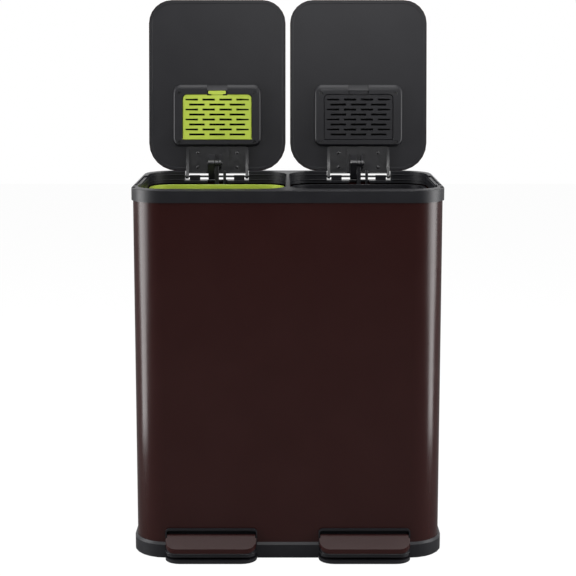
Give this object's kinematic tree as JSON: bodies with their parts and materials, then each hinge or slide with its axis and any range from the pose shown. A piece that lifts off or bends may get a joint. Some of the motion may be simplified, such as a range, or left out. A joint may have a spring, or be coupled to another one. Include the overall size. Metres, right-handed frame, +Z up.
{
  "type": "double pedal recycling bin",
  "caption": "Rectangular steel pedal bin with twin hinged lids, each with its own pedal, lift-out bucket and deodoriser box",
  "frame": {"origin": "on the floor under the middle of the body", "axes": "+Z up, +X to the right seen from the front, the front with its pedals faces -Y"},
  "size_m": [0.547, 0.4403, 0.9763],
  "materials": {
    "brown_steel": "satin dark brown powder coat on sheet steel",
    "black_plastic": "satin black moulded polypropylene",
    "green_plastic": "satin leaf green moulded polypropylene",
    "rubber": "matt black rubber",
    "zinc_steel": "bright zinc plated steel",
    "black_steel": "satin black painted pressed steel",
    "carbon_felt": "black carbon felt"
  },
  "bodies": {
    "root": {"outer_shell": "brown_steel", "top_rim": "black_plastic", "base": "black_plastic", "hinge_pin_left": "black_steel", "lid_bumper_left_front": "rubber", "lid_bumper_left_mid": "rubber", "rubber_foot_left_front": "rubber", "rubber_foot_left_rear": "rubber", "bucket_left": "green_plastic", "rod_channel_left": "black_plastic", "damper_body_left": "black_steel", "pedal_axle_left": "zinc_steel", "hinge_pin_right": "black_steel", "lid_bumper_right_front": "rubber", "lid_bumper_right_mid": "rubber", "rubber_foot_right_front": "rubber", "rubber_foot_right_rear": "rubber", "bucket_right": "black_plastic", "rod_channel_right": "black_plastic", "damper_body_right": "black_steel", "pedal_axle_right": "zinc_steel"},
    "lid_left": {"lid_skin_left": "brown_steel", "lid_tray_left": "black_plastic", "hinge_bracket_left": "black_steel", "rod_pin_left": "black_steel", "filter_frame_left": "black_plastic", "carbon_pad_left": "carbon_felt", "frame_screw_left_1": "black_steel", "frame_screw_left_2": "black_steel", "frame_screw_left_3": "black_steel", "frame_screw_left_4": "black_steel"},
    "filter_door_left": {"filter_door_left": "green_plastic"},
    "push_rod_left": {"push_rod_left": "black_steel"},
    "damper_plunger_left": {"damper_plunger_left": "black_steel"},
    "pedal_left": {"pedal_lever_left": "black_steel", "pedal_tread_left": "black_plastic", "pedal_cover_left": "brown_steel"},
    "lid_right": {"lid_skin_right": "brown_steel", "lid_tray_right": "black_plastic", "hinge_bracket_right": "black_steel", "rod_pin_right": "black_steel", "filter_frame_right": "black_plastic", "carbon_pad_right": "carbon_felt", "frame_screw_right_1": "black_steel", "frame_screw_right_2": "black_steel", "frame_screw_right_3": "black_steel", "frame_screw_right_4": "black_steel"},
    "filter_door_right": {"filter_door_right": "black_plastic"},
    "push_rod_right": {"push_rod_right": "black_steel"},
    "damper_plunger_right": {"damper_plunger_right": "black_steel"},
    "pedal_right": {"pedal_lever_right": "black_steel", "pedal_tread_right": "black_plastic", "pedal_cover_right": "brown_steel"}
  },
  "joints": [
    {"name": "lid_left", "type": "hinge", "parent": "root", "child": "lid_left", "pos_m": [-0.1365, 0.1657, 0.6393], "axis": [1, 0, 0], "range_deg": [0, 97]},
    {"name": "filter_door_left", "type": "hinge", "parent": "lid_left", "child": "filter_door_left", "pos_m": [-0.1365, 0.17818, 0.71061], "axis": [1, 0, 0], "range_deg": [0, 90]},
    {"name": "push_rod_left", "type": "hinge", "parent": "lid_left", "child": "push_rod_left", "pos_m": [-0.1365, 0.15502, 0.66573], "axis": [1, 0, 0], "range_deg": [-97, 0]},
    {"name": "damper_left", "type": "slide", "parent": "root", "child": "damper_plunger_left", "axis": [0, 0, -1], "range_m": [0, 0.0048]},
    {"name": "pedal_left", "type": "hinge", "parent": "root", "child": "pedal_left", "pos_m": [-0.1345, -0.14, 0.015], "axis": [1, 0, 0], "range_deg": [-9, 0]},
    {"name": "lid_right", "type": "hinge", "parent": "root", "child": "lid_right", "pos_m": [0.1365, 0.1657, 0.6393], "axis": [1, 0, 0], "range_deg": [0, 97]},
    {"name": "filter_door_right", "type": "hinge", "parent": "lid_right", "child": "filter_door_right", "pos_m": [0.1365, 0.17818, 0.71061], "axis": [1, 0, 0], "range_deg": [0, 90]},
    {"name": "push_rod_right", "type": "hinge", "parent": "lid_right", "child": "push_rod_right", "pos_m": [0.1365, 0.15502, 0.66573], "axis": [1, 0, 0], "range_deg": [-97, 0]},
    {"name": "damper_right", "type": "slide", "parent": "root", "child": "damper_plunger_right", "axis": [0, 0, -1], "range_m": [0, 0.0048]},
    {"name": "pedal_right", "type": "hinge", "parent": "root", "child": "pedal_right", "pos_m": [0.1345, -0.14, 0.015], "axis": [1, 0, 0], "range_deg": [-9, 0]}
  ],
  "couplings": [
    {"joint": "push_rod_left", "follows": "lid_left", "ratio": -0.98625},
    {"joint": "damper_left", "follows": "lid_left", "m_per_rad": 0.002717},
    {"joint": "pedal_left", "follows": "lid_left", "ratio": -0.08223},
    {"joint": "push_rod_right", "follows": "lid_right", "ratio": -0.98625},
    {"joint": "damper_right", "follows": "lid_right", "m_per_rad": 0.002717},
    {"joint": "pedal_right", "follows": "lid_right", "ratio": -0.08223}
  ]
}
